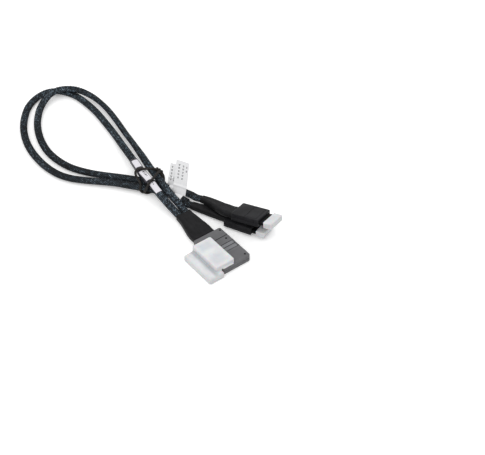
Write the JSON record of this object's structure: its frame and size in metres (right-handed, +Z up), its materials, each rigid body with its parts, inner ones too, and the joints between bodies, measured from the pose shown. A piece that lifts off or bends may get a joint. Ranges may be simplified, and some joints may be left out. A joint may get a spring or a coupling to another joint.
{
  "type": "sas breakout cable",
  "caption": "Flat braided breakout cable with a wide side-exit plug, slim straight plugs, dust caps, flag labels and a twist tie round its folded loop.",
  "frame": {"origin": "centre of the wide housing's underside, on the surface the cable lies on", "axes": "+X along the wide plug from its cable entry to its closed end, +Y away from its mating side, +Z up from the surface"},
  "size_m": [0.2636, 0.1023, 0.029],
  "materials": {
    "housing_grey": "grey satin moulded housing",
    "latch_grey": "lighter grey satin press plate",
    "small_housing": "near black satin moulded housing",
    "nose_black": "black moulded plug nose",
    "contact_card": "green board with plated contact pads",
    "milky_cap": "soft milky translucent plastic",
    "heat_shrink": "black heat shrink, soft satin",
    "wire_ribbon": "blue grey insulated wire",
    "braid": "black expandable braid over blue grey ribbon wire, fine glints",
    "marker_film": "smoky clear film sleeve with white label fields",
    "label_paper": "white satin label film",
    "tie_black": "black covered wire tie"
  },
  "bodies": {
    "cable": {"wide_cover": "housing_grey", "wide_base": "housing_grey", "wide_nose": "nose_black", "wide_contact_card": "contact_card", "wide_heat_shrink": "heat_shrink", "wide_wires_upper": "wire_ribbon", "wide_wires_lower": "wire_ribbon", "lower_cover": "small_housing", "lower_base": "small_housing", "lower_nose": "nose_black", "lower_contact_card": "contact_card", "lower_heat_shrink": "heat_shrink", "lower_wires_upper": "wire_ribbon", "lower_wires_lower": "wire_ribbon", "upper_cover": "small_housing", "upper_base": "small_housing", "upper_nose": "nose_black", "upper_contact_card": "contact_card", "upper_heat_shrink": "heat_shrink", "upper_wires_upper": "wire_ribbon", "upper_wires_lower": "wire_ribbon", "lower_cable": "braid", "upper_cable": "braid", "marker_sleeve": "marker_film", "lower_flag_label": "label_paper", "upper_flag_label": "label_paper", "twist_tie": "tie_black"},
    "wide_cap": {"wide_dust_cap": "milky_cap"},
    "lower_cap": {"lower_dust_cap": "milky_cap"},
    "upper_cap": {"upper_dust_cap": "milky_cap"},
    "wide_latch": {"wide_press_latch": "latch_grey"},
    "lower_latch": {"lower_press_latch": "small_housing"},
    "upper_latch": {"upper_press_latch": "small_housing"}
  },
  "joints": [
    {"name": "wide_cap_slide", "type": "slide", "parent": "cable", "child": "wide_cap", "axis": [0, -1, 0], "range_m": [0, 0.014]},
    {"name": "wide_latch_press", "type": "hinge", "parent": "cable", "child": "wide_latch", "pos_m": [0.00155, 0.0107, 0.00545], "axis": [1, 0, 0], "range_deg": [0, 1.8], "stiffness_Nm_per_rad": 0.02},
    {"name": "lower_cap_slide", "type": "slide", "parent": "cable", "child": "lower_cap", "axis": [0.9131, 0.4065, 0.0314], "range_m": [0, 0.008]},
    {"name": "lower_latch_press", "type": "hinge", "parent": "cable", "child": "lower_latch", "pos_m": [-0.0147, 0.03002, 0.00652], "axis": [-0.4021, 0.9106, -0.0958], "range_deg": [0, 4.5], "stiffness_Nm_per_rad": 0.01},
    {"name": "upper_cap_slide", "type": "slide", "parent": "cable", "child": "upper_cap", "axis": [0.9155, 0.3811, 0.1288], "range_m": [0, 0.008]},
    {"name": "upper_latch_press", "type": "hinge", "parent": "cable", "child": "upper_latch", "pos_m": [-0.00952, 0.03312, 0.01492], "axis": [-0.3549, 0.9159, -0.1875], "range_deg": [0, 4.5], "stiffness_Nm_per_rad": 0.01}
  ]
}
